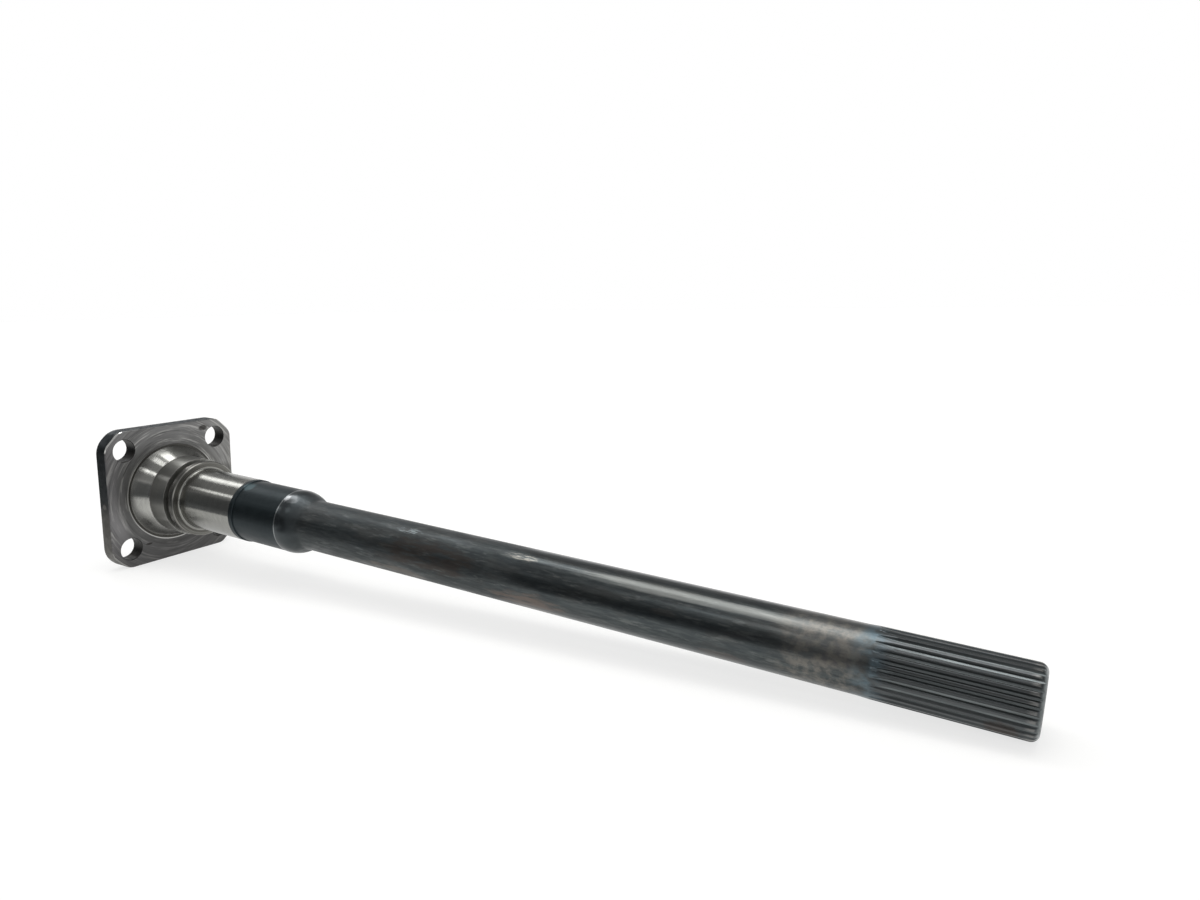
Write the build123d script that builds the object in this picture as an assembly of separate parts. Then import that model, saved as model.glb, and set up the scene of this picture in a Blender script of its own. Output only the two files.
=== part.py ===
from build123d import *
import os
from math import acos, cos, degrees, pi, radians, sin, sqrt, tan

# A flanged axle shaft: one steel forging, turned and ground at the flange end, with a hobbed
# spline at the other. The shaft's axis is X. X is zero on the flange's outer face, where the
# hub seats, the spline end is at +X, and the flange's flat sides lie along Y and Z.

# Driving dimensions, in millimetres and degrees.

# From the flange's outer face to the spline end.
overall_length = 613.0

# Four bolt holes on a circle, one in each corner of the flange.
bolt_hole_count = 4
bolt_circle_diameter = 106.0
bolt_hole_diameter = 16.5
bolt_hole_break = 0.3

# Flange: a square plate round the bolt holes, its corners forged off straight. They are larger
# and rounder on the hub side, and a bevel is turned round them on the shaft side.
flange_thickness = 11.0
hole_to_side = 14.5
hole_to_corner = 12.4
corner_draft = 0.8
corner_bevel = 0.7
corner_rounding = 10.0
hub_corner_rounding = 16.0
flange_edge_break = 0.5

# Boss: a short cone that runs down to the cylinder that the oil seal rides on.
boss_base_diameter = 71.0
boss_diameter = 58.0
boss_taper_length = 13.0
boss_length = 29.2

# Recess turned in the flange face: a shallow dish, and a relief groove at the boss's foot.
dish_width = 6.0
dish_depth = 0.4
relief_width = 1.5
relief_depth = 1.0
relief_lip = 0.5

# Groove behind the bearing shoulder, and the shoulder's collar.
groove_width = 4.8
groove_depth = 4.0
collar_diameter = 56.5
collar_width = 4.5
collar_chamfer = 0.7

# Ground bearing journal, with a small fillet against the collar.
journal_diameter = 45.0
journal_length = 57.5
journal_fillet = 1.2
journal_chamfer = 0.35

# Relieved neck behind the journal.
neck_diameter = 43.7
neck_length = 42.0

# Forged shoulder: a short land, a full rounding and a slope down to the shaft.
shoulder_diameter = 44.1
shoulder_edge = 0.15
shoulder_land_length = 6.2
shoulder_slope_angle = 24.0
shoulder_rounding = 20.0
shoulder_hollow = 8.0

# Plain shaft.
shaft_diameter = 34.2

# Spline: straight teeth of involute form. The addendum and dedendum are in modules.
tooth_count = 26
tooth_module = 1.25
tooth_pressure_angle = 30.0
tooth_shift = 0.5625
tooth_addendum_ratio = 0.45
tooth_dedendum_ratio = 0.6
spline_length = 60.0
spline_land_taper = 6.0
hob_diameter = 100.0

# The shaft's end is turned to a full rounding, which the teeth run out over.
end_rounding = 4.0

# Centre holes that the lathe and the grinder hold the shaft by, one in each end.
centre_pilot_diameter = 5.0
centre_pilot_depth = 12.0
centre_mouth_diameter = 10.6
centre_cone_angle = 60.0
centre_drill_point_angle = 118.0

# How far a cutting shape runs past the metal that it cuts.
overcut = 2.0

# Sizes that follow from the ones above.
flange_side = bolt_circle_diameter / sqrt(2) + 2 * hole_to_side
corner_distance = bolt_circle_diameter / 2 + hole_to_corner
taper_end = flange_thickness + boss_taper_length
boss_end = flange_thickness + boss_length
groove_end = boss_end + groove_width
collar_end = groove_end + collar_width
journal_end = collar_end + journal_length
neck_end = journal_end + neck_length
slope_start = neck_end + shoulder_land_length
slope_drop = (shoulder_diameter - shaft_diameter) / 2
slope_end = slope_start + slope_drop / tan(radians(shoulder_slope_angle))

pitch_radius = tooth_count * tooth_module / 2
base_radius = pitch_radius * cos(radians(tooth_pressure_angle))
tip_radius = pitch_radius + tooth_shift + tooth_addendum_ratio * tooth_module
root_radius = pitch_radius + tooth_shift - tooth_dedendum_ratio * tooth_module
outer_radius = max(tip_radius, shaft_diameter / 2)
hob_radius = hob_diameter / 2
hob_axis_radius = root_radius + hob_radius
spline_full_start = overall_length - spline_length
run_out_length = sqrt(hob_radius ** 2 - (hob_axis_radius - outer_radius) ** 2)
spline_land_start = spline_full_start - run_out_length


def turned(points, blends=()):
    """Revolve a closed outline of (length, radius) points round the shaft's axis.

    Each blend is a corner of the outline and the radius that rounds it.
    """
    outline = make_face(Polyline(*points, close=True))
    for (length, radius), blend in blends:
        corner = outline.vertices().sort_by_distance((length, radius, 0))[0]
        outline = fillet(corner, blend)
    return revolve(outline, Axis.X)


def make_shaft():
    """Everything that is round, from inside the flange to the spline end, without its teeth."""
    inside = flange_thickness / 2
    base = boss_base_diameter / 2
    boss = boss_diameter / 2
    groove = boss - groove_depth
    collar = collar_diameter / 2
    journal = journal_diameter / 2
    neck = neck_diameter / 2
    shoulder = shoulder_diameter / 2
    shaft = shaft_diameter / 2

    collar_root = (collar_end, journal)
    slope_top = (slope_start, shoulder)
    slope_foot = (slope_end, shaft)
    end_rim = (overall_length, tip_radius)
    points = [
        (inside, 0),
        (inside, base),
        (flange_thickness, base),
        (taper_end, boss),
        (boss_end, boss),
        (boss_end, groove),
        (groove_end, groove),
        (groove_end, collar),
        (collar_end - collar_chamfer, collar),
        (collar_end, collar - collar_chamfer),
        collar_root,
        (journal_end - journal_chamfer, journal),
        (journal_end, journal - journal_chamfer),
        (journal_end, neck),
        (neck_end, neck),
        (neck_end + shoulder_edge, shoulder),
        slope_top,
        slope_foot,
        (spline_land_start - spline_land_taper, shaft),
        (spline_land_start, tip_radius),
        end_rim,
        (overall_length, 0),
    ]
    blends = [
        (collar_root, journal_fillet),
        (slope_top, shoulder_rounding),
        (slope_foot, shoulder_hollow),
        (end_rim, end_rounding),
    ]
    return turned(points, blends)


def flange_outline(distance, rounding):
    """A square whose corners are cut off at a distance from the axis, and rounded."""
    outline = Rectangle(flange_side, flange_side) & Rot(Z=45) * Rectangle(2 * distance, 2 * distance)
    return fillet(outline.vertices(), rounding)


def make_flange():
    """Square plate with its corners cut off, a bevel turned on their shaft side, and its holes."""
    hub_side = flange_outline(corner_distance + corner_draft, hub_corner_rounding)
    shaft_side = flange_outline(corner_distance, corner_rounding)
    plate = loft([Plane.YZ * hub_side, Plane.YZ.offset(flange_thickness) * shaft_side])
    ends = plate.faces().filter_by(Axis.X)
    plate = chamfer(ends.edges(), flange_edge_break)

    bevel_radius = corner_distance - corner_bevel
    cone = [
        (0, 0),
        (0, bevel_radius + flange_thickness),
        (flange_thickness, bevel_radius),
        (flange_thickness, 0),
    ]
    plate = plate & turned(cone)

    for number in range(bolt_hole_count):
        turn = Rot(X=(number + 0.5) * 360 / bolt_hole_count)
        plate = plate - turn * Pos(0, 0, bolt_circle_diameter / 2) * make_bolt_hole()
    return plate


def make_bolt_hole():
    """The metal that one bolt hole removes, with both its edges broken."""
    radius = bolt_hole_diameter / 2
    mouth = radius + bolt_hole_break
    points = [
        (-overcut, 0),
        (-overcut, mouth + overcut),
        (bolt_hole_break, radius),
        (flange_thickness - bolt_hole_break, radius),
        (flange_thickness + overcut, mouth + overcut),
        (flange_thickness + overcut, 0),
    ]
    return turned(points)


def make_recess():
    """The shallow dish in the flange face and the relief groove at the boss's foot."""
    foot = boss_base_diameter / 2
    relief = foot + relief_width
    dish = relief + dish_width
    points = [
        (flange_thickness - relief_depth, foot),
        (flange_thickness - relief_depth, relief - relief_lip),
        (flange_thickness - relief_depth + relief_lip, relief),
        (flange_thickness - dish_depth, relief),
        (flange_thickness, dish),
        (flange_thickness + overcut, dish),
        (flange_thickness + overcut, foot),
    ]
    return turned(points)


def space_point(radius, side):
    """A point on one flank of the tooth space at the top of the shaft, at the given radius."""
    angle = radians(tooth_pressure_angle)
    thickness = tooth_module * pi / 2 + 2 * tooth_shift * tan(angle)
    pressure = acos(base_radius / radius)
    narrowing = (tan(pressure) - pressure) - (tan(angle) - angle)
    tooth_half_angle = thickness / (2 * pitch_radius) - narrowing
    half_angle = pi / tooth_count - tooth_half_angle
    return (side * radius * sin(half_angle), radius * cos(half_angle))


def make_tooth_space():
    """One space between two teeth: straight to the end, and run out on the hob's radius."""
    radii = (root_radius, (root_radius + tip_radius) / 2, tip_radius)
    left = [space_point(radius, -1) for radius in radii]
    right = [space_point(radius, 1) for radius in radii]
    spread = (outer_radius + overcut) / tip_radius
    left_top = (left[2][0] * spread, left[2][1] * spread)
    right_top = (right[2][0] * spread, right[2][1] * spread)
    edges = [
        Line(left[0], right[0]),
        ThreePointArc(*right),
        Line(right[2], right_top),
        Line(right_top, left_top),
        Line(left_top, left[2]),
        ThreePointArc(*left),
    ]
    profile = Plane.YZ.offset(spline_full_start) * make_face(Curve() + edges)

    straight = extrude(profile, spline_length + overcut, dir=(1, 0, 0))
    hob_axis = Axis((spline_full_start, 0, hob_axis_radius), (0, 1, 0))
    rise = acos((hob_axis_radius - outer_radius - overcut / 2) / hob_radius)
    run_out = revolve(profile, hob_axis, degrees(rise))
    return straight + run_out


def make_centre_hole():
    """A centre-drilled hole with its mouth at the origin, drilled towards -X."""
    pilot = centre_pilot_diameter / 2
    mouth = centre_mouth_diameter / 2
    cone_slope = tan(radians(centre_cone_angle / 2))
    point_depth = pilot / tan(radians(centre_drill_point_angle / 2))
    points = [
        (overcut, 0),
        (overcut, mouth + overcut * cone_slope),
        ((pilot - mouth) / cone_slope, pilot),
        (-centre_pilot_depth, pilot),
        (-centre_pilot_depth - point_depth, 0),
    ]
    return turned(points)


def make_axle_shaft():
    """The whole forging, with its teeth cut and a centre hole in each end."""
    axle = make_flange() + make_shaft() - make_recess()
    space = make_tooth_space()
    for number in range(tooth_count):
        axle = axle - Rot(X=(number + 0.5) * 360 / tooth_count) * space
    axle = axle - Pos(overall_length, 0, 0) * make_centre_hole()
    axle = axle - Rot(Y=180) * make_centre_hole()
    return axle


def main():
    os.makedirs("parts", exist_ok=True)
    export_step(make_axle_shaft(), "parts/axle_shaft.step")


main()
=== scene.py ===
from math import acos, atan2, cos, pi, radians, sin, sqrt, tan

import bmesh
import bpy
from bpy.props import FloatProperty, FloatVectorProperty, IntProperty, PointerProperty
from mathutils import Matrix, Vector
from mathutils.geometry import delaunay_2d_cdt


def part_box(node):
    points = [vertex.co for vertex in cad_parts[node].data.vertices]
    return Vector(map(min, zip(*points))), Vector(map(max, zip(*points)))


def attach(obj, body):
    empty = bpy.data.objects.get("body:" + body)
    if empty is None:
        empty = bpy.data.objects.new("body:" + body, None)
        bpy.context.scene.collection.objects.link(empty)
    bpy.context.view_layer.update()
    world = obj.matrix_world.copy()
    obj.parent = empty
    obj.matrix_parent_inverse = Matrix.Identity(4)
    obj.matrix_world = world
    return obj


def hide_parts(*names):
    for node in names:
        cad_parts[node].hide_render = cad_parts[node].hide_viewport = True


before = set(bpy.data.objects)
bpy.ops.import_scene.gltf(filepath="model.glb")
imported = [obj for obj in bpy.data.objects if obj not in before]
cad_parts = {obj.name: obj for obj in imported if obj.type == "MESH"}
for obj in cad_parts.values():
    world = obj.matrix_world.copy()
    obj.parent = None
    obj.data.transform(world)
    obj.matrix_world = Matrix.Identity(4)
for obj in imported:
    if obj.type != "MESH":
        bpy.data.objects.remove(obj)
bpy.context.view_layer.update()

bl_info = {
    "name": "Flanged axle shaft",
    "version": (1, 0, 0),
    "blender": (4, 5, 0),
    "location": "3D View > Sidebar > Axle Shaft",
    "description": "Builds a flanged, splined axle shaft and the studio that it lies in",
    "category": "Add Mesh",
}

NODE = "axle_shaft"
LOW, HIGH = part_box(NODE)
MM = 0.001

# How many straight sides stand for a round hole.
HOLE_SIDES = 64

# Radius and steps of the edge breaks on the groove, the collar and the journal's end.
EDGE_BREAK = (0.0002, 3)

# How high the lamps hang and how far off the curved cards stand, in metres.
LAMP_HEIGHT = 1.5
CARD_DISTANCE = 2.3


# Properties


def linear(code):
    """A linear colour from an sRGB hex code such as 8f8f88."""
    parts = [int(code[i : i + 2], 16) / 255 for i in (0, 2, 4)]
    return [p / 12.92 if p <= 0.04045 else ((p + 0.055) / 1.055) ** 2.4 for p in parts]


def length(name, description, millimetres):
    """A size in metres whose default is given in millimetres."""
    size = {"default": millimetres / 1000, "min": 0.0, "precision": 5, "unit": "LENGTH"}
    return FloatProperty(name=name, description=description, **size)


def angle(name, description, degrees):
    """An angle whose default is given in degrees."""
    size = {"default": radians(degrees), "subtype": "ANGLE"}
    return FloatProperty(name=name, description=description, **size)


def colour(name, description, code):
    """A colour whose default is an sRGB hex code."""
    tone = {"default": linear(code), "min": 0.0, "max": 1.0, "subtype": "COLOR"}
    return FloatVectorProperty(name=name, description=description, **tone)


class AxleFlangeSizes(bpy.types.PropertyGroup):
    """The square flange, its bolt holes and the recess at the boss's foot."""

    side: length("Side", "Across the flange's flats", (HIGH.y - LOW.y) * 1000)
    thickness: length("Thickness", "Between the flange's two faces", 11)
    corner: length("Corner", "From the axis to the cut corners, on the shaft side", 65.4)
    draft: length("Corner draft", "How much larger the corners are on the hub side", 0.8)
    rounding: length("Rounding", "Of the corners, on the shaft side", 10)
    hub_rounding: length("Hub side rounding", "Of the corners, on the hub side", 16)
    bevel: length("Corner bevel", "Turned on the corners, on the shaft side", 0.7)
    edge: length("Edge break", "Round both faces", 0.5)
    bolt_circle: length("Bolt circle", "Diameter of the circle of bolt holes", 106)
    bolt_hole: length("Bolt hole", "Diameter of each bolt hole", 16.5)
    hole_edge: length("Hole edge", "Chamfer round each bolt hole", 0.3)
    dish: length("Dish", "Diameter of the shallow dish round the boss", 86)
    dish_depth: length("Dish depth", "Of the dish at its inner edge", 0.4)
    relief: length("Relief", "Diameter of the relief groove", 74)
    relief_depth: length("Relief depth", "Of the relief groove", 1)
    relief_lip: length("Relief lip", "Chamfer on the relief groove's edge", 0.5)


class AxleSeatSizes(bpy.types.PropertyGroup):
    """The boss, the collar and the bearing journal."""

    boss_base: length("Boss foot", "Diameter of the boss at the flange", 71)
    boss: length("Boss", "Diameter of the boss's cylinder", 58)
    taper: length("Boss taper", "Length of the boss's cone", 13)
    boss_length: length("Boss length", "From the flange to the groove", 29.2)
    boss_blend: length("Boss blend", "Radius between cone and cylinder", 2)
    groove: length("Groove", "Diameter at the groove's bottom", 50)
    groove_width: length("Groove width", "Along the axis", 4.8)
    collar: length("Collar", "Diameter of the bearing shoulder", 56.5)
    collar_width: length("Collar width", "Along the axis", 4.5)
    collar_edge: length("Collar chamfer", "On the journal side", 0.7)
    journal: length("Journal", "Diameter of the bearing seat", 45)
    journal_length: length("Journal length", "Along the axis", 57.5)
    journal_fillet: length("Journal fillet", "Radius against the collar", 1.2)
    journal_edge: length("Journal chamfer", "At the journal's far end", 0.35)
    ground: length("Ground length", "How far the journal is ground bright", 53.8)


class AxleShaftSizes(bpy.types.PropertyGroup):
    """The neck, the forged shoulder and the plain shaft."""

    overall: length("Overall length", "Over both ends", (HIGH.x - LOW.x) * 1000)
    neck: length("Neck", "Diameter behind the journal", 43.7)
    neck_length: length("Neck length", "Along the axis", 42)
    shoulder: length("Shoulder", "Diameter of the shoulder's land", 44.1)
    land: length("Shoulder land", "Length of the shoulder's land", 6.2)
    slope: angle("Shoulder slope", "Between the shoulder's slope and the axis", 24)
    rounding: length("Shoulder rounding", "Radius at the top of the slope", 20)
    hollow: length("Shoulder hollow", "Radius at the slope's foot", 8)
    shaft: length("Shaft", "Diameter of the plain shaft", 34.2)


class AxleSplineSizes(bpy.types.PropertyGroup):
    """The spline and the shaft's end."""

    teeth: IntProperty(name="Teeth", description="How many teeth", default=26, min=6)
    module: length("Module", "Pitch diameter over tooth count", 1.25)
    pressure: angle("Pressure angle", "Of the involute flanks", 30)
    shift: length("Profile shift", "Outward, of the tooth profile", 0.5625)
    addendum: length("Addendum", "From the shifted pitch line to the tip", 0.5625)
    dedendum: length("Dedendum", "From the shifted pitch line to the root", 0.75)
    root_fillet: length("Root fillet", "In the corners of each space", 0.25)
    crest_edge: length("Crest edge", "Worn edge of each tooth's crest", 0.12)
    full: length("Full teeth", "Length of teeth at full depth", 60)
    hob: length("Cutter diameter", "Of the cutter that leaves the run-out", 100)
    land_taper: length("Land taper", "From the plain shaft up to the spline's land", 6)
    end_rounding: length("End rounding", "Radius that the shaft's end is turned to", 4)
    centre_mouth: length("Centre hole mouth", "Diameter of the centre holes", 10.6)
    centre_pilot: length("Centre hole pilot", "Diameter of their bottoms", 5)
    centre_depth: length("Centre hole depth", "To the pilot's end", 12)
    centre_cone: angle("Centre hole cone", "Included angle of the mouth", 60)
    centre_point: angle("Drill point", "Included angle of the bottom", 118)


class AxleColours(bpy.types.PropertyGroup):
    """The finishes' main colours."""

    faced: colour("Faced steel", "Lathe-faced flange", "7b7b7b")
    bevel: colour("Turned bevel", "Bevel on the flange's corners", "dededb")
    scale: colour("Forging scale", "Rim of the flange", "33383a")
    # Painted shade: the bolt holes' walls are coloured near black for the shade inside them.
    bore: colour("Drilled bore", "Walls of the bolt holes", "2a2a29")
    ground: colour("Ground steel", "Boss and journal", "8e8e8a")
    groove: colour("Groove", "Groove and collar, turned but not ground", "757571")
    black: colour("Black oxide", "Neck behind the journal", "2d3538")
    skin: colour("Hardened skin", "Oxide on the plain shaft", "43484a")
    straw: colour("Straw tint", "Tan temper colour near the spline", "847f77")
    temper: colour("Blue tint", "Blue temper colour at the spline's start", "627680")
    tooth: colour("Tooth", "Cut and hardened spline teeth", "4a4e4f")
    floor: colour("Floor", "Matt pale studio floor", "9c9c9a")
    flag: colour("Flag", "Dark card that the shaft reflects", "77797b")


GROUPS = (AxleFlangeSizes, AxleSeatSizes, AxleShaftSizes, AxleSplineSizes, AxleColours)


class AxleSettings(bpy.types.PropertyGroup):
    """Everything that a user can change."""

    flange: PointerProperty(type=AxleFlangeSizes)
    seat: PointerProperty(type=AxleSeatSizes)
    shaft: PointerProperty(type=AxleShaftSizes)
    spline: PointerProperty(type=AxleSplineSizes)
    colours: PointerProperty(type=AxleColours)


# Materials


def add(tree, kind, inputs=None, **settings):
    """Add a node, set its own settings, then its inputs from values, sockets or other nodes."""
    made = tree.nodes.new("ShaderNode" + kind)
    for name, value in settings.items():
        setattr(made, name, value)
    for name, value in (inputs or {}).items():
        socket = made.inputs[name]
        if isinstance(name, str):
            socket = next(s for s in made.inputs if s.name == name and s.enabled)
        if isinstance(value, bpy.types.Node):
            value = next(s for s in value.outputs if s.enabled)
        if isinstance(value, bpy.types.NodeSocket):
            tree.links.new(value, socket)
        else:
            socket.default_value = value
    return made


def new_material(finish, colours):
    """A material that is named for its finish and holds the nodes that the finish adds."""
    made = bpy.data.materials.new(finish.__name__)
    made.use_nodes = True
    made.node_tree.nodes.clear()
    finish(made.node_tree, colours)
    return made


def place_on_shaft(tree):
    """Where a point is: along the shaft, out from its axis, and the direction from the axis."""
    where = add(tree, "TexCoord").outputs["Object"]
    across = add(tree, "VectorMath", {0: where, 1: (0, 1, 1)}, operation="MULTIPLY")
    outward = add(tree, "VectorMath", {0: across}, operation="NORMALIZE")
    radius = add(tree, "VectorMath", {0: across}, operation="LENGTH")
    along = add(tree, "SeparateXYZ", {0: where}).outputs["X"]
    return along, radius, outward


def place_across(tree):
    """Where a point is across the shaft: to the side, and above its axis."""
    where = add(tree, "TexCoord").outputs["Object"]
    split = add(tree, "SeparateXYZ", {0: where})
    return split.outputs["Y"], split.outputs["Z"]


def blotches(tree, along, across, low, high, seed):
    """Cloudy patches, of a size in millimetres along the shaft and across it.

    They fade in as the noise goes from low to high.
    """
    where = add(tree, "TexCoord").outputs["Object"]
    size = [v * MM for v in (along, across, across)]
    scaled = add(tree, "VectorMath", {0: where, 1: size}, operation="DIVIDE")
    cloud = {"Vector": scaled, "W": seed, "Scale": 1.0, "Detail": 5.0, "Roughness": 0.6}
    noise = add(tree, "TexNoise", cloud, noise_dimensions="4D")
    fade = {"Value": noise, "From Min": low, "From Max": high}
    return add(tree, "MapRange", fade, interpolation_type="SMOOTHSTEP")


def turned_marks(tree, pitch, sweep, low, high, seed):
    """Rings round the axis, a pitch in millimetres apart, broken up more as the sweep grows.

    They fade in as the noise goes from low to high.
    """
    along, radius, outward = place_on_shaft(tree)
    path = add(tree, "Math", {0: along, 1: radius}, operation="ADD")
    path = add(tree, "Math", {0: path, 1: pitch * MM}, operation="DIVIDE")
    path = add(tree, "CombineXYZ", {"X": path})
    ring = {0: outward, 1: (0, sweep, sweep), 2: path}
    ring = add(tree, "VectorMath", ring, operation="MULTIPLY_ADD")
    cuts = {"Vector": ring, "W": seed, "Scale": 1.0, "Detail": 3.0, "Roughness": 0.65}
    noise = add(tree, "TexNoise", cuts, noise_dimensions="4D")
    return add(tree, "MapRange", {"Value": noise, "From Min": low, "From Max": high})


def from_to(tree, value, start, full):
    """A fade from 0 at one distance in millimetres to 1 at another."""
    fade = {"Value": value, "From Min": start * MM, "From Max": full * MM}
    return add(tree, "MapRange", fade, interpolation_type="SMOOTHSTEP")


def between(tree, value, start, full, last, gone):
    """A band that fades in from one distance in millimetres to the next, and out again."""
    return together(tree, from_to(tree, value, start, full), from_to(tree, value, gone, last))


def spot(tree, at, reach, seed):
    """One spot, given by its middle and its reach in millimetres. Noise makes its edge ragged."""
    where = add(tree, "TexCoord").outputs["Object"]
    at = [v * MM for v in at]
    reach = [v * MM for v in reach]
    away = add(tree, "VectorMath", {0: where, 1: at}, operation="SUBTRACT")
    away = add(tree, "VectorMath", {0: away, 1: reach}, operation="DIVIDE")
    rags = {"Vector": away, "W": seed, "Scale": 2.5, "Detail": 4.0}
    noise = add(tree, "TexNoise", rags, noise_dimensions="4D")
    far = add(tree, "VectorMath", {0: away}, operation="LENGTH")
    ragged = add(tree, "Math", {0: far, 1: noise}, operation="ADD")
    fade = {"Value": ragged, "From Min": 1.5, "From Max": 1.1}
    return add(tree, "MapRange", fade, interpolation_type="SMOOTHSTEP")


def together(tree, *patterns):
    """A pattern that shows where all the given ones do."""
    whole = patterns[0]
    for pattern in patterns[1:]:
        whole = add(tree, "Math", {0: whole, 1: pattern}, operation="MULTIPLY")
    return whole


def paint(tree, base, coats):
    """Lay coats over a base colour in order.

    A coat is its colour, which can be an sRGB hex code, its strength, and the patterns that it
    shows in where they meet.
    """
    under = (*base, 1)
    for colour, strength, *patterns in coats:
        if isinstance(colour, str):
            colour = linear(colour)
        thickness = together(tree, *patterns, strength)
        blend = {"Factor": thickness, "A": under, "B": (*colour, 1)}
        under = add(tree, "Mix", blend, data_type="RGBA")
    return under


def steel(tree, base, coats, wear, marks, smooth, rough, depth, stretch=0.0, oil=0.0):
    """Steel of a base colour under its coats, with marks of a depth in millimetres.

    It goes from smooth to rough with its wear. A stretch draws highlights out across marks that
    run round the axis, which takes a quarter turn from the tangent. Oil is a thin film.
    """
    roughness = add(tree, "MapRange", {"Value": wear, "To Min": smooth, "To Max": rough})
    relief = add(tree, "Bump", {"Distance": depth * MM, "Height": marks})
    surface = {
        "Base Color": paint(tree, base, coats),
        "Metallic": 1.0,
        "Roughness": roughness,
        "Normal": relief,
        "Anisotropic": stretch,
        "Anisotropic Rotation": 0.25,
        "Coat Weight": oil,
        "Coat Roughness": 0.28,
    }
    shader = add(tree, "BsdfPrincipled", surface)
    if stretch:
        around = add(tree, "Tangent", direction_type="RADIAL", axis="X")
        tree.links.new(around.outputs[0], shader.inputs["Tangent"])
    add(tree, "OutputMaterial", {"Surface": shader})


def faced_steel(tree, colours):
    """The flange's face. A lathe tool faced it, so rings run round the boss and catch the light
    in two opposite sectors. The real marks are 0.3 mm apart and are drawn 1.6 mm apart to show."""
    along, radius, _ = place_on_shaft(tree)
    side, height = place_across(tree)
    shaft_side = from_to(tree, along, 5, 8)
    bright = turned_marks(tree, 1.6, 1.8, 0.52, 0.66, seed=1)
    dark = turned_marks(tree, 1.8, 1.4, 0.52, 0.66, seed=2)
    bands = turned_marks(tree, 6.0, 0.8, 0.4, 0.62, seed=29)
    handled = blotches(tree, 22, 22, 0.45, 0.7, seed=3)
    # Painted highlight: a thin bright ring at the relief groove's edge, on the shaft side, fading out
    # towards the top.
    ring = between(tree, radius, 36.8, 37.0, 37.5, 37.7)
    lip = together(tree, ring, from_to(tree, height, 34, 16), shaft_side)
    coats = [
        ("646463", 0.4, bands),
        ("666564", 0.3, handled),
        # Painted shade: on the shaft side, the face is darker towards the boss.
        ("555553", 0.4, from_to(tree, radius, 46, 40), shaft_side),
        # Painted reflection, partly the face's own uneven tone: the face is lighter towards both sides.
        ("8e8c8e", 0.55, from_to(tree, side, -34, -50)),
        ("a09e97", 0.15, from_to(tree, side, 20, 46)),
        ("434342", 0.5, dark),
        ("c0bfbc", 0.55, bright),
        # Painted shade: the face is darker towards the bottom.
        ("3a3939", 0.68, from_to(tree, height, -16, -44)),
        # Painted shade: a darker patch on the face's right side.
        ("4a4946", 0.5, spot(tree, (11, 47, 0), (4, 14, 17), seed=42)),
        # Painted highlight on the relief groove's edge.
        ("dcdcd9", 0.7, lip),
        ("2b2927", 0.8, spot(tree, (11, 27.5, 46), (3, 4.5, 2.6), seed=4)),
        ("2b2927", 0.8, spot(tree, (11, -23.5, -37), (3, 3.2, 0.9), seed=5)),
    ]
    steel(tree, colours.faced, coats, bands, bright, smooth=0.34, rough=0.5, depth=0.01, stretch=0.55)


def turned_bevel(tree, colours):
    """The bevel round the flange's corners. A fresh tool cut left it smooth and bright, and it
    is painted darker on the two lower corners, as painted shade. The real marks are 0.2 mm
    apart, these 1.5 mm, to show."""
    marks = turned_marks(tree, 1.5, 4.0, 0.4, 0.6, seed=6)
    _, height = place_across(tree)
    coats = [
        ("8e8d8b", 0.3, marks),
        # Painted shade: the two lower corners are darker.
        ("5b5957", 0.75, from_to(tree, height, -20, -38)),
    ]
    steel(tree, colours.bevel, coats, marks, marks, smooth=0.2, rough=0.36, depth=0.01)


def forging_scale(tree, colours):
    """The flange's rim. It was never machined, so it keeps the forge's hard grey scale."""
    lumps = blotches(tree, 5, 5, 0.35, 0.65, seed=7)
    clouds = blotches(tree, 14, 18, 0.42, 0.66, seed=8)
    _, height = place_across(tree)
    coats = [
        ("22272a", 0.4, lumps),
        ("515459", 0.35, clouds),
        # Painted light: the rim is lighter towards the bottom.
        ("6f6c67", 0.65, from_to(tree, height, 6, -14)),
        ("8a8783", 0.6, spot(tree, (5.5, -52, -3), (2.6, 2, 2.4), seed=9)),
    ]
    steel(tree, colours.scale, coats, lumps, lumps, smooth=0.4, rough=0.6, depth=0.025)


def drilled_bore(tree, colours):
    """A bolt hole's wall. It is painted near black, as painted shade inside the hole."""
    blotched = blotches(tree, 2, 6, 0.4, 0.65, seed=10)
    coats = [("4a4744", 0.5, blotched)]
    steel(tree, colours.bore, coats, blotched, blotched, smooth=0.4, rough=0.6, depth=0.03)


def ground_steel(tree, colours):
    """The boss and the bearing journal. A grinding wheel left fine scratches round the axis, so
    lights draw out along the shaft and stay sharp across it. Real ones are 0.05 mm apart, these
    0.9 mm, to show. The boss's cylinder is ground coarser."""
    fine = turned_marks(tree, 0.9, 3.0, 0.35, 0.7, seed=11)
    broad = turned_marks(tree, 3.0, 1.6, 0.42, 0.62, seed=12)
    smears = blotches(tree, 9, 5, 0.5, 0.72, seed=13)
    along, _, _ = place_on_shaft(tree)
    cylinder = between(tree, along, 23.8, 24.2, 40, 42)
    coats = [
        # Painted light: the boss's cone is painted lighter, so its highlights come out brighter.
        ("b4b4b0", 0.7, from_to(tree, along, 24.2, 23.8)),
        # Painted light: the boss's cylinder is painted lighter too, standing in for the highlight that
        # it lacks.
        ("a8a8a4", 0.5, cylinder),
        ("6b6b67", 0.18, fine),
        ("9f9f9a", 0.3, broad),
        ("757370", 0.1, smears),
    ]
    coarse = {0: together(tree, fine, 0.4), 1: together(tree, cylinder, 0.8)}
    coarse = add(tree, "Math", coarse, operation="MAXIMUM")
    steel(tree, colours.ground, coats, coarse, fine, smooth=0.18, rough=0.36, depth=0.0006, stretch=0.75)


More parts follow.
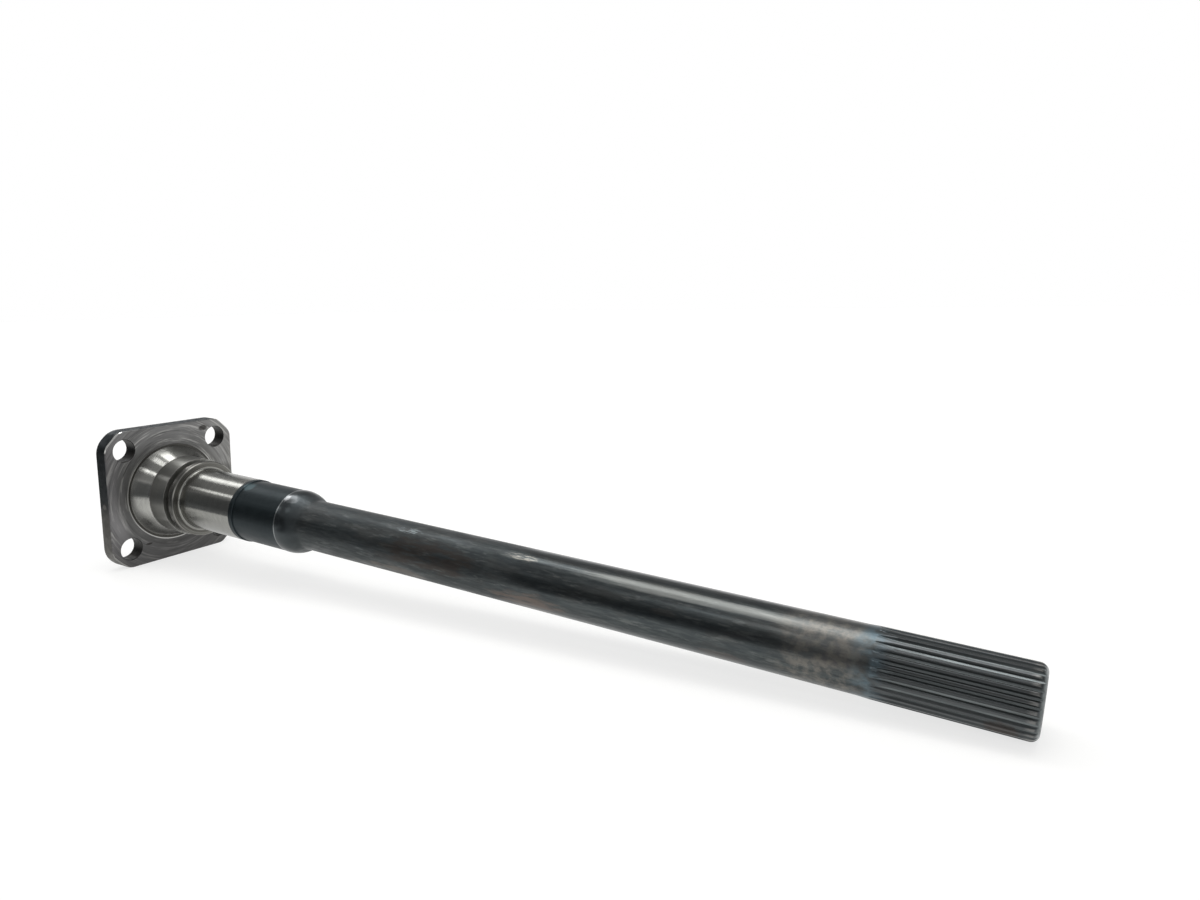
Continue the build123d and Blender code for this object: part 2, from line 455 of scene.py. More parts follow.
def turned_groove(tree, colours):
    """The groove, the collar and the centre holes. Turned but never ground: tool rings stand out
    with brown oil between them. The collar's edges carry painted highlights, and the groove's
    bottom, the centre holes and the relief groove are painted dark as shade. Real rings are
    0.3 mm apart, these 1.2 mm, to show."""
    along, radius, _ = place_on_shaft(tree)
    rings = turned_marks(tree, 1.2, 0.5, 0.42, 0.6, seed=14)
    edges = turned_marks(tree, 1.2, 0.3, 0.56, 0.66, seed=30)
    # Painted highlights: thin bright rings on the collar's edges.
    chamfer = together(tree, from_to(tree, along, 49.0, 49.2), from_to(tree, radius, 27.5, 27.7))
    back = together(tree, from_to(tree, along, 45.4, 45.2), from_to(tree, radius, 27.9, 28.1))
    inner = between(tree, radius, 23.4, 23.6, 24.1, 24.3)
    relief = together(tree, from_to(tree, radius, 30, 33), from_to(tree, along, 13, 12))
    coats = [
        ("4a4743", 0.4, rings),
        ("a19f9a", 0.35, edges),
        # Painted shade: darker within 26 mm of the axis, for the groove's bottom; this also darkens the
        # collar's inner face, the shaft's end and the centre holes.
        ("3b3834", 0.35, from_to(tree, radius, 26.5, 25.6)),
        # Painted highlights: bright rings at the collar face's inner edge, on its chamfer and on its
        # back edge.
        ("c4c3c0", 0.35, inner, from_to(tree, along, 49.2, 49.4)),
        ("c4c2bd", 0.3, chamfer),
        ("b0aea9", 0.5, back),
        # Painted shade: the relief groove's bottom is coloured near black.
        ("1f1d1b", 0.8, relief),
    ]
    steel(tree, colours.groove, coats, rings, edges, smooth=0.24, rough=0.36, depth=0.01, stretch=0.6)


def black_oxide(tree, colours):
    """The neck. Magnetite from the furnace, wiped with oil: blue-black, with a soft sheen and
    faint turning marks under it. Real ones are 0.3 mm apart, these 1.8 mm, to show."""
    rings = turned_marks(tree, 1.8, 2.0, 0.35, 0.65, seed=15)
    cloudy = blotches(tree, 12, 7, 0.42, 0.68, seed=16)
    along, _, _ = place_on_shaft(tree)
    coats = [
        ("384043", 0.4, cloudy),
        ("22292c", 0.25, rings),
        # Painted highlight: a lighter blue patch on top of the neck, beside the journal.
        ("62787d", 0.35, spot(tree, (110, -8, 20), (5, 6, 3), seed=41)),
        ("9a9e9f", 0.7, from_to(tree, along, 148.7, 149.1)),
    ]
    steel(tree, colours.black, coats, cloudy, rings, smooth=0.44, rough=0.52, depth=0.003, oil=0.05)


def temper_tints(tree, along, colours):
    """Coats for where the hardening stopped: a painted highlight on top, then grey straw in
    clouds and a little blue."""
    _, height = place_across(tree)
    top = from_to(tree, height, -6, 6)
    clouds = blotches(tree, 5.5, 4.5, 0.38, 0.66, seed=19)
    hot = between(tree, along, 490, 512, 530, 545)
    blue = between(tree, along, 531, 539, 542, 552)
    return [
        # Painted highlight: the top is lighter where the tint starts.
        ("8f8d89", 0.2, hot, top),
        (colours.straw, 0.6, clouds, hot),
        (colours.temper, 0.6, blue, blotches(tree, 8, 6, 0.35, 0.65, seed=31)),
    ]


def hardened_skin(tree, colours):
    """The shoulder and the plain shaft. Induction hardening left a thin dark oxide with streaks
    along the bar, brown where it ran hot. Highlights are painted on the shoulder and along the
    top, and the underside is painted darker as shade. It is duller in the half near the
    shoulder, and a little in the tinted end."""
    along, _, _ = place_on_shaft(tree)
    _, height = place_across(tree)
    streaks = blotches(tree, 40, 3.0, 0.38, 0.64, seed=17)
    grain = blotches(tree, 10, 1.5, 0.4, 0.68, seed=18)
    flecks = blotches(tree, 14, 2.6, 0.54, 0.66, seed=32)
    highlight_scuffs = blotches(tree, 6, 0.8, 0.46, 0.6, seed=37)
    clouded = blotches(tree, 30, 9, 0.46, 0.62, seed=38)
    body = from_to(tree, along, 160, 176)
    brown = blotches(tree, 14, 2.5, 0.36, 0.56, seed=39)
    patches = blotches(tree, 26, 5, 0.25, 0.55, seed=20)
    dull = together(tree, patches, between(tree, along, 156, 163, 328, 352))
    tinted = together(tree, from_to(tree, along, 496, 514), 0.26)
    dull = add(tree, "Math", {0: dull, 1: tinted}, operation="MAXIMUM")
    coats = [
        ("9a9e9f", 0.7, from_to(tree, along, 150.3, 149.9)),
        # Painted highlight: a soft glow and a bright core on top of the shoulder.
        ("8b8e90", 0.35, spot(tree, (154.5, -10, 19), (6, 5, 5), seed=40)),
        ("b4b6b8", 0.6, spot(tree, (151.6, -11, 19.2), (2, 4, 2.8), seed=33)),
        ("54504d", 0.3, clouded, body),
        # Painted shade: the underside is darker.
        ("313636", 0.4, from_to(tree, height, 0, -9)),
        ("2d3234", 0.55, streaks, body),
        ("5f6463", 0.4, grain, body),
        ("747775", 0.4, flecks, body),
        # Painted highlight: a long lighter streak along the top of the plain shaft.
        ("868783", 0.38, spot(tree, (446, -9, 15), (84, 4, 4), seed=34)),
        ("453d38", 0.65, brown, spot(tree, (278, -15, 4), (44, 12, 12), seed=21)),
        ("665b54", 0.8, brown, spot(tree, (352, -14, -9), (30, 9, 8), seed=22)),
        ("68635d", 0.75, brown, spot(tree, (250, -13, -11), (30, 7, 6), seed=23)),
        ("5a524d", 0.4, spot(tree, (470, -14, -11), (16, 6, 4), seed=24)),
        ("5c5a58", 0.45, spot(tree, (437, -16, 6), (9, 5, 2), seed=25)),
        # Painted highlight: bluish-white broken streaks on top, in two places.
        ("a5b0b4", 0.55, highlight_scuffs, spot(tree, (259, -8, 15), (12, 4, 1.6), seed=35)),
        ("b5b1a7", 0.55, highlight_scuffs, spot(tree, (344, -8, 15), (12, 4, 2), seed=36)),
        *temper_tints(tree, along, colours),
    ]
    steel(tree, colours.skin, coats, dull, grain, smooth=0.28, rough=0.58, depth=0.008, oil=0.18)


def hobbed_teeth(tree, colours):
    """The spline. A hob cut it before hardening. The spaces are painted lighter, to lift their
    shade, while the crests are the shaft's own skin, rubbed lighter, with painted highlights
    at their ends."""
    along, radius, _ = place_on_shaft(tree)
    streaks = blotches(tree, 30, 1.6, 0.38, 0.64, seed=26)
    grain = blotches(tree, 4, 1.2, 0.4, 0.65, seed=27)
    toothed = from_to(tree, along, 541, 549)
    crest = together(tree, from_to(tree, radius, 16.9, 17.25), toothed)
    crest_end_highlights = together(tree, crest, from_to(tree, along, 606, 609))
    coats = [
        # Painted light: the tooth spaces, and the end's rounding below the root, are lighter, to lift
        # their shade.
        ("787e7f", 0.75, from_to(tree, radius, 16.8, 16.0)),
        ("2f3436", 0.3, streaks),
        ("68676a", 0.12, crest),
        ("5b5a59", 0.25, grain),
        ("473b34", 0.45, spot(tree, (598, -13, -10), (9, 7, 6), seed=28)),
        # Painted highlight: the crests are lighter at their ends.
        ("9a9895", 0.35, crest_end_highlights),
        *temper_tints(tree, along, colours),
    ]
    steel(tree, colours.tooth, coats, streaks, grain, smooth=0.28, rough=0.42, depth=0.006, oil=0.18)


def matt_white_paper(tree, colours):
    """The floor. Uncoated paper scatters light, so it shows a soft shadow and no highlight. A
    glow that only the camera and reflections see keeps it white."""
    path = add(tree, "LightPath")
    seen = path.outputs["Is Camera Ray"]
    for ray in ("Is Glossy Ray", "Is Transmission Ray"):
        seen = add(tree, "Math", {0: seen, 1: path.outputs[ray]}, operation="MAXIMUM")
    where = add(tree, "TexCoord").outputs["Object"]
    far = add(tree, "VectorMath", {0: where}, operation="LENGTH")
    rise = {"Value": far, "From Min": 0.8, "From Max": 4.0, "To Min": 0.71, "To Max": 1.0}
    surface = {
        "Base Color": (*colours.floor, 1),
        "Roughness": 0.9,
        "Specular IOR Level": 0.1,
        "Emission Color": (1, 1, 1, 1),
        "Emission Strength": together(tree, add(tree, "MapRange", rise), seen),
    }
    add(tree, "OutputMaterial", {"Surface": add(tree, "BsdfPrincipled", surface)})


def grey_card(tree, colours):
    """The cards that the shaft reflects. Matt card gives the round steel even, dark bands."""
    shader = add(tree, "BsdfDiffuse", {"Color": (*colours.flag, 1)})
    add(tree, "OutputMaterial", {"Surface": shader})


FINISHES = (
    faced_steel,
    turned_bevel,
    forging_scale,
    drilled_bore,
    ground_steel,
    turned_groove,
    black_oxide,
    hardened_skin,
    hobbed_teeth,
)
FACED, BEVEL, SCALE, BORE, GROUND, GROOVE, BLACK, SKIN, TOOTH = range(len(FINISHES))


# Geometry


def spaced(start, end, steps):
    """Values in even steps from start to end."""
    return [start + (end - start) * i / steps for i in range(steps + 1)]


def arc(before, corner, after, radius, steps):
    """Points on the arc of that radius that rounds a corner between two straight runs."""
    one = (before - corner).normalized()
    two = (after - corner).normalized()
    half = acos(one.dot(two)) / 2
    centre = corner + (one + two).normalized() * radius / sin(half)
    start = corner + one * radius / tan(half) - centre
    end = corner + two * radius / tan(half) - centre
    sweep = pi - 2 * half
    points = []
    for t in spaced(0, 1, steps):
        side = sin((1 - t) * sweep) * start + sin(t * sweep) * end
        points.append(centre + side / sin(sweep))
    return points


def lathe_rows(corners):
    """Turn corners (x, radius, finish), some with a blend radius and its steps, into rows."""
    rows = []
    for i, (x, radius, finish, *blend) in enumerate(corners):
        if blend and blend[0]:
            before = Vector(corners[i - 1][:2])
            after = Vector(corners[i + 1][:2])
            points = arc(before, Vector((x, radius)), after, *blend)
            rows += [(point.x, point.y, finish) for point in points]
        else:
            rows.append((x, radius, finish))
    return rows


class ToothForm:
    """The spline's columns: where each one crosses a row of the lathe."""

    def __init__(self, settings):
        sizes = settings.spline
        self.teeth = sizes.teeth
        self.pitch_radius = sizes.teeth * sizes.module / 2
        self.pressure = sizes.pressure
        self.base = self.pitch_radius * cos(self.pressure)
        self.tip = self.pitch_radius + sizes.shift + sizes.addendum
        self.root = self.pitch_radius + sizes.shift - sizes.dedendum
        self.thickness = sizes.module * pi / 2 + 2 * sizes.shift * tan(self.pressure)
        self.crest_edge = sizes.crest_edge
        self.hob_radius = sizes.hob / 2
        reach = self.hob_radius + self.root - self.tip
        self.run_out = sqrt(self.hob_radius**2 - reach**2)
        self.full_start = settings.shaft.overall - sizes.full
        self.land_start = self.full_start - self.run_out

        middle = (self.root + self.tip) / 2
        corner = self.flank(self.root)
        after = self.flank(middle)
        foot = arc(Vector((0, corner.y)), corner, after, sizes.root_fillet, steps=2)
        self.form = [Vector((0, corner.y)), *foot, after, self.flank(self.tip)]
        self.form.append(2 * self.form[-1] - self.form[-2])
        runs = [(b - a).length for a, b in zip(self.form[:-2], self.form[1:-1])]
        self.shares = [sum(runs[:i]) / sum(runs) for i in range(len(runs))]
        self.shares.append(1 - self.crest_edge / sum(runs))
        self.plain = [atan2(p.x, p.y) for p in self.half_pitch(self.tip, self.tip - self.root)]

    def flank(self, radius):
        """A flank's point at a radius, for the space at the top of the shaft."""
        involute = acos(self.base / radius)
        narrowing = tan(involute) - involute - tan(self.pressure) + self.pressure
        tooth = self.thickness / (2 * self.pitch_radius) - narrowing
        half = pi / self.teeth - tooth
        return Vector((radius * sin(half), radius * cos(half)))

    def lift(self, before_full):
        """How far the run-out lifts the cutter, at a distance before the full teeth."""
        reach = min(max(before_full, 0), self.run_out)
        return self.hob_radius - sqrt(self.hob_radius**2 - reach**2)

    def flank_path(self, outer, lift):
        """The lifted tooth form from the middle of a space out to a radius."""
        halvings = 30
        raised = [p + Vector((0, lift)) for p in self.form]
        path = [raised[0]]
        for a, b in zip(raised, raised[1:]):
            if b.length < outer:
                path.append(b)
                continue
            low, high = 0.0, 1.0
            for _ in range(halvings):
                t = (low + high) / 2
                low, high = (t, high) if a.lerp(b, t).length < outer else (low, t)
            path.append(a.lerp(b, low))
            break
        return path

    def half_pitch(self, outer, lift):
        """Points from the middle of a space to the middle of a tooth, in a row of that radius."""
        path = self.flank_path(outer, lift)
        runs = [(b - a).length for a, b in zip(path, path[1:])]
        total = sum(runs)
        points = []
        for share in self.shares:
            left = share * total
            i = 0
            while i < len(runs) - 1 and left > runs[i]:
                left -= runs[i]
                i += 1
            points.append(path[i].lerp(path[i + 1], left / runs[i] if runs[i] else 0))
        half = pi / self.teeth
        edge = atan2(path[-1].x, path[-1].y) + self.crest_edge / outer
        for turn in (edge, (edge + half) / 2, half):
            points.append(Vector((outer * sin(turn), outer * cos(turn))))
        return points

    def row(self, x, radius):
        """A whole row of points round the axis. Rows outside the teeth are circles."""
        slack, above_root = 1e-6, 1.001
        if x > self.land_start - slack and radius > self.root * above_root:
            lift = self.lift(self.full_start - x)
            half = [(p.length, atan2(p.x, p.y)) for p in self.half_pitch(radius, lift)]
        else:
            half = [(radius, turn) for turn in self.plain]
        pitch = 2 * pi / self.teeth
        whole = half[:-1] + [(r, pitch - turn) for r, turn in reversed(half[1:])]
        points = []
        for tooth in range(self.teeth):
            start = pi / 2 + (tooth + 0.5) * pitch
            for r, turn in whole:
                points.append((x, r * cos(start + turn), r * sin(start + turn)))
        return points


def circle(x, radius, y=0.0, z=0.0):
    """Points on a hole's circle across the axis."""
    turns = [2 * pi * i / HOLE_SIDES for i in range(HOLE_SIDES)]
    return [(x, y + radius * cos(t), z + radius * sin(t)) for t in turns]


def flange_outline(sizes, x, inset):
    """The flange's outline at a distance from the hub side, inset by an edge break."""
    flat_steps, round_steps, cut_steps = 6, 10, 5
    share = x / sizes.thickness
    side = sizes.side / 2 - inset
    corner = sizes.corner + sizes.draft * (1 - share) - inset
    radius = sizes.hub_rounding + (sizes.rounding - sizes.hub_rounding) * share - inset
    centre = Vector((side - radius, sqrt(2) * (corner - radius) - side + radius))
    eighth = [Vector((side, y)) for y in spaced(0, centre.y, flat_steps)[:-1]]
    for turn in spaced(0, pi / 4, round_steps):
        eighth.append(centre + radius * Vector((cos(turn), sin(turn))))
    middle = Vector((corner, corner)) * sqrt(0.5)
    eighth += [eighth[-1].lerp(middle, share) for share in spaced(0, 1, cut_steps)[1:]]
    quarter = eighth + [p.yx for p in reversed(eighth[1:-1])]
    whole = []
    for number in range(4):
        swing = Matrix.Rotation(number * pi / 2, 2)
        whole += [swing @ p for p in quarter]
    return whole


def flange_rim(sizes):
    """Rows of points from the hub side's edge, over the rim, to the bevel on the shaft side."""
    thick, edge = sizes.thickness, sizes.edge
    bevel = sizes.corner - sizes.bevel
    rows = [
        [(0, p.x, p.y) for p in flange_outline(sizes, 0, edge)],
        [(edge, p.x, p.y) for p in flange_outline(sizes, edge, 0)],
    ]
    places = spaced(thick - edge, thick - edge - (sizes.bevel + edge), steps=24)
    sides = [flange_outline(sizes, x, 0) for x in places]
    start = []
    for column in zip(*sides):
        inside = [n for n, p in enumerate(column) if p.length <= bevel + thick - places[n]]
        reached = inside[0] if inside else -1
        start.append((places[reached], *column[reached]))
    front = flange_outline(sizes, thick, edge)
    front = [p * min(1, bevel / p.length) for p in front]
    rows.append(start)
    rows.append([(thick, p.x, p.y) for p in front])
    return rows


def add_loop(mesh, points):
    """Add a closed loop of vertices."""
    return [mesh.verts.new(p) for p in points]


def bridge(mesh, first, second, finish):
    """Join two loops of the same count with quads."""
    faces = []
    for i in range(len(first)):
        j = (i + 1) % len(first)
        face = mesh.faces.new((first[i], first[j], second[j], second[i]))
        face.material_index = finish
        faces.append(face)
    return faces


def tube(mesh, circles, finish, y=0.0, z=0.0):
    """The round wall of a hole through circles (x, radius). Gives back its two end loops."""
    loops = [add_loop(mesh, circle(x, radius, y, z)) for x, radius in circles]
    for first, second in zip(loops, loops[1:]):
        bridge(mesh, first, second, finish)
    return loops[0], loops[-1]


def cap(mesh, loop, x, finish):
    """Close a loop to a point on the axis."""
    point = mesh.verts.new((x, 0, 0))
    for i in range(len(loop)):
        face = mesh.faces.new((loop[i], loop[(i + 1) % len(loop)], point))
        face.material_index = finish


def fill_flat(mesh, outline, openings, finish):
    """Fill a flat face across the axis between its outline and the openings in it.

    A triangle whose corners all lie on one opening is inside that opening, so it is left out.
    """
    inside_only, tolerance = 1, 1e-8
    loops = [outline, *openings]
    vertices = [v for loop in loops for v in loop]
    owner = [n for n, loop in enumerate(loops) for v in loop]
    edges = []
    for loop in loops:
        start = edges[-1][0] + 1 if edges else 0
        edges += [(start + i, start + (i + 1) % len(loop)) for i in range(len(loop))]
    flat = [Vector((v.co.y, v.co.z)) for v in vertices]
    _, _, triangles, source, _, _ = delaunay_2d_cdt(flat, edges, [], inside_only, tolerance)
    for triangle in triangles:
        corners = [source[i][0] for i in triangle]
        owners = {owner[i] for i in corners}
        if len(owners) == 1 and 0 not in owners:
            continue
        face = mesh.faces.new([vertices[i] for i in corners])
        face.material_index = finish


def centre_hole(spline):
    """A centre hole's outline (depth, radius), from its mouth to its tip."""
    mouth, pilot = spline.centre_mouth / 2, spline.centre_pilot / 2
    cone_depth = (mouth - pilot) / tan(spline.centre_cone / 2)
    tip_depth = spline.centre_depth + pilot / tan(spline.centre_point / 2)
    return [(0, mouth), (cone_depth, pilot), (spline.centre_depth, pilot), (tip_depth, 0)]


def seat_corners(flange, seat):
    """The lathe's corners from the dish in the flange to the journal's far end."""
    face = flange.thickness
    bottom = face - flange.relief_depth
    taper_end = face + seat.taper
    boss_end = face + seat.boss_length
    groove_end = boss_end + seat.groove_width
    collar_end = groove_end + seat.collar_width
    bright_end = collar_end + seat.ground
    journal_end = collar_end + seat.journal_length
    relief, foot = flange.relief / 2, seat.boss_base / 2
    boss, groove = seat.boss / 2, seat.groove / 2
    collar, journal = seat.collar / 2, seat.journal / 2
    return [
        (face, flange.dish / 2, FACED),
        (face - flange.dish_depth, relief, FACED),
        (bottom + flange.relief_lip, relief, FACED),
        (bottom, relief - flange.relief_lip, GROOVE),
        (bottom, foot, GROUND),
        (face, foot, GROUND),
        (taper_end, boss, GROUND, seat.boss_blend, 4),
        (boss_end, boss, GROUND, *EDGE_BREAK),
        (boss_end, groove, GROOVE, *EDGE_BREAK),
        (groove_end, groove, GROOVE, *EDGE_BREAK),
        (groove_end, collar, GROOVE, *EDGE_BREAK),
        (collar_end - seat.collar_edge, collar, GROOVE),
        (collar_end, collar - seat.collar_edge, GROOVE),
        (collar_end, journal, GROUND, seat.journal_fillet, 6),
        (bright_end, journal, BLACK),
        (journal_end - seat.journal_edge, journal, BLACK),
        (journal_end, journal - seat.journal_edge, BLACK),
    ]


def bar_corners(shaft, journal_end, land_foot):
    """The lathe's corners from the neck to the foot of the spline's land."""
    neck_end = journal_end + shaft.neck_length
    slope_start = neck_end + shaft.land
    slope_end = slope_start + (shaft.shoulder - shaft.shaft) / 2 / tan(shaft.slope)
    plain_start = slope_end + shaft.hollow
    neck, shoulder, plain = shaft.neck / 2, shaft.shoulder / 2, shaft.shaft / 2
    corners = [
        (journal_end, neck, BLACK, *EDGE_BREAK),
        (neck_end, neck, BLACK),
        (neck_end + EDGE_BREAK[0], shoulder, SKIN),
        (slope_start, shoulder, SKIN, shaft.rounding, 10),
        (slope_end, plain, SKIN, shaft.hollow, 8),
    ]
    return corners + [(x, plain, SKIN) for x in spaced(plain_start, land_foot, steps=12)[1:]]


def spline_corners(spline, overall, form):
    """The lathe's corners over the spline, its rounded end and the far centre hole.

    Two rows of the rounding lie just above and just below the root, where the teeth end.
    """
    above_root, below_root = 1.003, 0.999
    rounding = spline.end_rounding
    round_start = overall - rounding
    places = spaced(form.land_start, form.full_start, steps=12)
    places += spaced(form.full_start, round_start, steps=6)[1:-1]
    corners = [(x, form.tip, TOOTH) for x in places]
    above = acos(1 - (form.tip - form.root * above_root) / rounding)
    below = acos(1 - (form.tip - form.root * below_root) / rounding)
    for turn in spaced(0, above, steps=8) + spaced(below, pi / 2, steps=8):
        x = round_start + rounding * sin(turn)
        corners.append((x, form.tip - rounding * (1 - cos(turn)), TOOTH))
    corners[-1] = (*corners[-1][:2], GROOVE)
    corners += [(overall - depth, radius, GROOVE) for depth, radius in centre_hole(spline)[:-1]]
    return corners


def shaft_corners(settings, form):
    """All the lathe's corners, from the dish in the flange to the far centre hole."""
    shaft, spline = settings.shaft, settings.spline
    corners = seat_corners(settings.flange, settings.seat)
    journal_end = corners[-1][0]
    corners += bar_corners(shaft, journal_end, form.land_start - spline.land_taper)
    return corners + spline_corners(spline, shaft.overall, form)


def add_shaft(mesh, settings):
    """Everything turned, with its teeth. Gives back the first loop, at the dish's rim."""
    form = ToothForm(settings)
    rows = lathe_rows(shaft_corners(settings, form))
    loops = [add_loop(mesh, form.row(x, radius)) for x, radius, _ in rows]
    for first, second, (_, _, finish) in zip(loops, loops[1:], rows):
        bridge(mesh, first, second, finish)
    tip_depth, _ = centre_hole(settings.spline)[-1]
    cap(mesh, loops[-1], settings.shaft.overall - tip_depth, GROOVE)
    return loops[0]


def add_flange(mesh, settings, dish_rim):
    """The flange round the dish's rim, with its bolt holes and its centre hole.

    The last strip of its rim is the bevel on the corners, and an edge break between them.
    """
    flange = settings.flange
    thick = flange.thickness
    outlines = [add_loop(mesh, row) for row in flange_rim(flange)]
    for first, second in zip(outlines, outlines[1:]):
        strip = bridge(mesh, first, second, SCALE)
    least_corner = flange.corner - 1.5 * MM
    for face in strip:
        on_corner = face.calc_center_median().yz.length > least_corner
        face.material_index = BEVEL if on_corner else FACED

    near, far = [], [dish_rim]
    centre = flange.bolt_circle / 2 * sqrt(0.5)
    bore, edge = flange.bolt_hole / 2, flange.hole_edge
    depths = ((0, bore + edge), (edge, bore), (thick - edge, bore), (thick, bore + edge))
    for y in (-centre, centre):
        for z in (-centre, centre):
            hub_end, shaft_end = tube(mesh, depths, BORE, y, z)
            near.append(hub_end)
            far.append(shaft_end)

    *walls, (tip_depth, _) = centre_hole(settings.spline)
    mouth, bottom = tube(mesh, walls, GROOVE)
    cap(mesh, bottom, tip_depth, GROOVE)
    near.append(mouth)

    fill_flat(mesh, outlines[0], near, FACED)
    fill_flat(mesh, outlines[-1], far, FACED)


def build_forging(settings):
    """The whole forging as one closed mesh."""
    mesh = bmesh.new()
    dish_rim = add_shaft(mesh, settings)
    add_flange(mesh, settings, dish_rim)
    bmesh.ops.recalc_face_normals(mesh, faces=mesh.faces)
    return mesh


class AXLE_OT_shaft(bpy.types.Operator):
    """Build the forging as one closed mesh, with its finishes, in place of the CAD node"""

    bl_idname = "axle.shaft"
    bl_label = "Axle shaft"

    def execute(self, context):
        settings = context.scene.axle
        mesh = build_forging(settings)
        open_edges = [e for e in mesh.edges if not e.is_manifold]
        if open_edges:
            raise RuntimeError(f"the forging has {len(open_edges)} open edges")
        data = bpy.data.meshes.new("axle_shaft_steel")
        mesh.to_mesh(data)
        mesh.free()
        for finish in FINISHES:
            data.materials.append(new_material(finish, settings.colours))
        data.shade_smooth()
        data.set_sharp_from_angle(angle=radians(28))
        piece = bpy.data.objects.new("axle_shaft_steel", data)
        context.scene.collection.objects.link(piece)
        even = piece.modifiers.new("even_shading", "WEIGHTED_NORMAL")
        even.weight = 100
        even.keep_sharp = True
        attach(piece, "root")
        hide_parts(NODE)
        return {"FINISHED"}


# Stage


def add_lamp(name, size, radiance, place, turn=0.0):
    """A soft rectangular lamp overhead that faces down, turned about the vertical."""
    data = bpy.data.lights.new(name, "AREA")
    data.shape = "RECTANGLE"
    data.size, data.size_y = size
    data.energy = radiance * size[0] * size[1] * pi
    made = bpy.data.objects.new(name, data)
    made.location = (*place, LAMP_HEIGHT)
    made.rotation_euler.z = turn
    bpy.context.scene.collection.objects.link(made)


def add_sheet(name, corners, material):
    """A flat or bent sheet through pairs of corners."""
    data = bpy.data.meshes.new(name)
    faces = [(i, i + 1, i + 3, i + 2) for i in range(0, len(corners) - 3, 2)]
    data.from_pydata(corners, [], faces)
    data.materials.append(material)
    made = bpy.data.objects.new(name, data)
    bpy.context.scene.collection.objects.link(made)
    return made


def add_card(name, corners, material):
    """A sheet that only reflections see."""
    made = add_sheet(name, corners, material)
    made.visible_camera = False
    made.visible_diffuse = False
    made.visible_shadow = False


def add_flag(name, start, end, low, high, material):
    """A curved card round the shaft, between two bearings in degrees and two heights."""
    corners = []
    for bearing in spaced(radians(start), radians(end), steps=24):
        for z in (low, high):
            corners.append((CARD_DISTANCE * cos(bearing), CARD_DISTANCE * sin(bearing), z))
    add_card(name, corners, material)


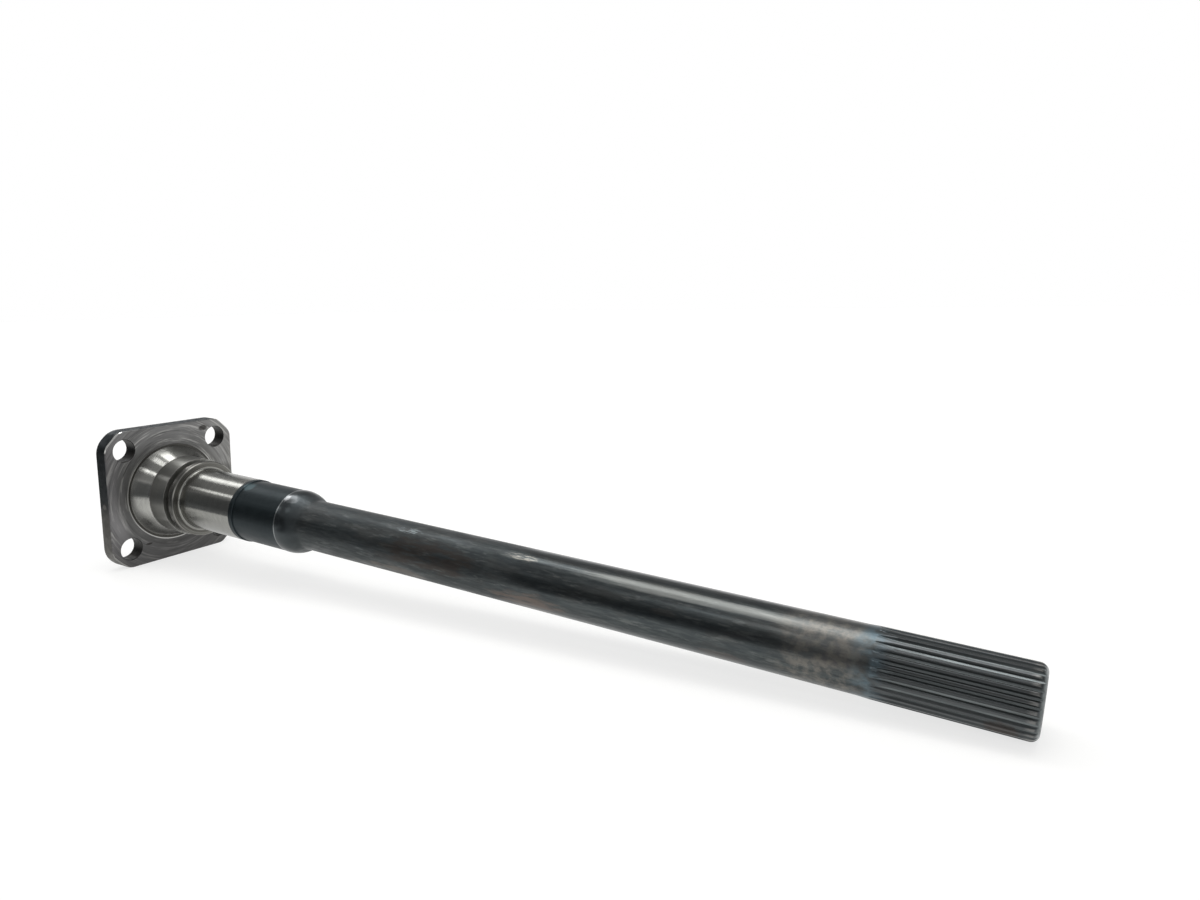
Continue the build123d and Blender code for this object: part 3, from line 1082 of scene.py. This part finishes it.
class AXLE_OT_stage(bpy.types.Operator):
    """Set the floor that the shaft rests on, the lamps, the world and the camera"""

    bl_idname = "axle.stage"
    bl_label = "Stage"

    def execute(self, context):
        settings = context.scene.axle
        self.rest(settings)
        self.floor(settings)
        self.lamps()
        self.flags(settings.colours)
        self.world(context.scene)
        self.camera(context.scene)
        context.scene.view_settings.view_transform = "Standard"
        return {"FINISHED"}

    def rest(self, settings):
        """Find the plane that the flange's lower edge and the spline's tip rest on."""
        flange = settings.flange
        rows = lathe_rows(shaft_corners(settings, ToothForm(settings)))
        self.edge_x, self.edge_z = flange.thickness - flange.edge, flange.side / 2
        past_flange = self.edge_x + 0.1
        slopes = [(self.edge_z - r) / (x - self.edge_x) for x, r, _ in rows if x > past_flange]
        self.slope = min(slopes)

    def level(self, x):
        """The plane's height there."""
        return (x - self.edge_x) * self.slope - self.edge_z

    def floor(self, settings):
        """White paper under the shaft, out to the horizon."""
        reach = (-12.0, 12.0)
        corners = [(x, y, self.level(x)) for x in reach for y in reach]
        add_sheet("studio_floor", corners, new_material(matt_white_paper, settings.colours))

    def lamps(self):
        """A long tube behind, three softboxes overhead and two short tubes in front."""
        add_lamp("tube_behind", (4.4, 0.44), 3.3, (-1.0, 0.32), turn=radians(-5))
        add_lamp("softbox_spline", (0.5, 0.48), 2.8, (0.3, -0.2))
        add_lamp("softbox_far", (0.9, 0.4), 1.9, (0.5, 0.62))
        add_lamp("softbox_boss", (0.2, 0.3), 2.8, (-0.2, -0.3))
        add_lamp("tube_front", (1.6, 0.3), 2.8, (-2.4, -1.25))
        add_lamp("tube_side", (0.5, 0.3), 3.6, (-0.12, -1.28))

    def flags(self, colours):
        """Dark cards beside the camera, above its view and low, for bands on the round steel."""
        material = new_material(grey_card, colours)
        add_flag("flag_near", -180, -75, -0.3, 1.05, material)
        add_flag("flag_far", 70, 180, 0.8, 1.15, material)
        above_floor, front = 0.004, -2.3
        near_edge = ((-3.0, -0.13), (-0.06, -0.13), (-0.05, -0.45))
        near_edge += ((0.03, -0.45), (0.04, -0.1), (1.2, -0.1))
        corners = []
        for x, near in near_edge:
            for y in (front, near):
                corners.append((x, y, self.level(x) + above_floor))
        add_card("flag_low", corners, material)

    def world(self, scene):
        """White at the horizon, grey overhead."""
        world = bpy.data.worlds.new("studio")
        world.use_nodes = True
        tree = world.node_tree
        tree.nodes.clear()
        where = add(tree, "TexCoord").outputs["Generated"]
        split = add(tree, "SeparateXYZ", {0: where})
        fade = {
            "Value": split.outputs["Z"],
            "From Min": sin(radians(18)),
            "From Max": sin(radians(32)),
            "To Min": 1.0,
            "To Max": 0.35,
        }
        rise = add(tree, "MapRange", fade, interpolation_type="SMOOTHSTEP")
        glow = add(tree, "Background", {"Color": (1, 1, 1, 1), "Strength": rise})
        add(tree, "OutputWorld", {"Surface": glow})
        scene.world = world

    def camera(self, scene):
        """The photograph's view: near the spline end, looking back along the shaft.

        The camera was fitted to the photograph, so its focal length and the middle of its view
        are in pixels.
        """
        focal, across, down = 846.025, 593.164, 450.303
        wide, high, sensor = 1200, 900, 36.0
        yaw, pitch, roll = 0.515464, 0.204947, 0.035095
        place = (0.606094, -0.393005, 0.175671)
        back = Vector((sin(yaw) * cos(pitch), -cos(yaw) * cos(pitch), sin(pitch)))
        right = Vector((cos(yaw), sin(yaw), 0))
        up = back.cross(right)
        turned_right = cos(roll) * right + sin(roll) * up
        turned_up = cos(roll) * up - sin(roll) * right
        data = bpy.data.cameras.new("camera")
        data.sensor_width = sensor
        data.lens = focal * sensor / wide
        data.shift_x = (wide / 2 - across) / wide
        data.shift_y = (down - high / 2) / wide
        data.clip_start, data.clip_end = 0.01, 100
        made = bpy.data.objects.new("camera", data)
        made.matrix_world = Matrix((turned_right, turned_up, back)).transposed().to_4x4()
        made.location = place
        scene.collection.objects.link(made)
        scene.camera = made


# Add-on


class AXLE_PT_panel(bpy.types.Panel):
    """Sizes, colours and the buttons that build the shaft and its stage"""

    bl_idname = "AXLE_PT_panel"
    bl_label = "Axle shaft"
    bl_space_type = "VIEW_3D"
    bl_region_type = "UI"
    bl_category = "Axle Shaft"

    def draw(self, context):
        settings = context.scene.axle
        for title in ("flange", "seat", "shaft", "spline", "colours"):
            box = self.layout.box()
            box.label(text=title.capitalize())
            group = getattr(settings, title)
            for name in group.__annotations__:
                box.prop(group, name)
        for operator in OPERATORS:
            self.layout.operator(operator.bl_idname)


OPERATORS = (AXLE_OT_shaft, AXLE_OT_stage)
CLASSES = (*GROUPS, AxleSettings, *OPERATORS, AXLE_PT_panel)


def register():
    for made in CLASSES:
        bpy.utils.register_class(made)
    bpy.types.Scene.axle = PointerProperty(type=AxleSettings)


def unregister():
    del bpy.types.Scene.axle
    for made in reversed(CLASSES):
        bpy.utils.unregister_class(made)


def main():
    register()
    bpy.ops.axle.shaft()
    bpy.ops.axle.stage()


if __name__ == "__main__":
    main()
